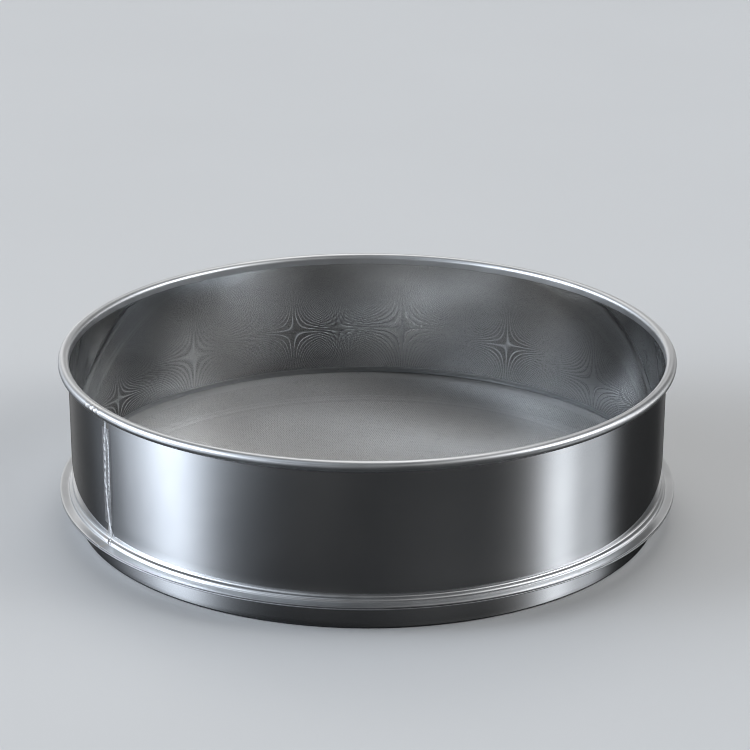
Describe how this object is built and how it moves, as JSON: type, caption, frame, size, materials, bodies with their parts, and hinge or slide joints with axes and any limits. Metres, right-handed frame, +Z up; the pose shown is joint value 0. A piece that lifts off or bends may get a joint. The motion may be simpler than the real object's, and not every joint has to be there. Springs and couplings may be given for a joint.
{
  "type": "soil sieve",
  "caption": "Round nesting soil sieve: polished stainless drum with a rolled rim and welded seam, fine woven wire cloth held in its flange, and a short skirt that nests in a sieve or pan below.",
  "frame": {"origin": "on the ground under the centre of the drum, at the foot of the skirt", "axes": "+Z up along the drum's axis, +X to the right and -Y towards the viewer of the picture"},
  "size_m": [0.314, 0.314, 0.0859],
  "materials": {
    "polished_sheet": "mirror-polished stainless sheet with faint drawing lines",
    "core_wire": "bright drawn wire",
    "weld_metal": "as-welded stitch, partly brushed",
    "wire_cloth": "plain-woven fine stainless wire",
    "solder": "dull solder"
  },
  "bodies": {
    "root": {"drum_wall": "polished_sheet", "rim_wire": "core_wire", "drum_seam_weld": "weld_metal", "rim_weld": "weld_metal", "foot_weld": "weld_metal", "flange_edge_weld": "weld_metal", "mesh_cloth": "wire_cloth", "mesh_edge_solder": "solder", "skirt_ring": "polished_sheet", "skirt_seam_weld": "weld_metal"}
  },
  "joints": []
}
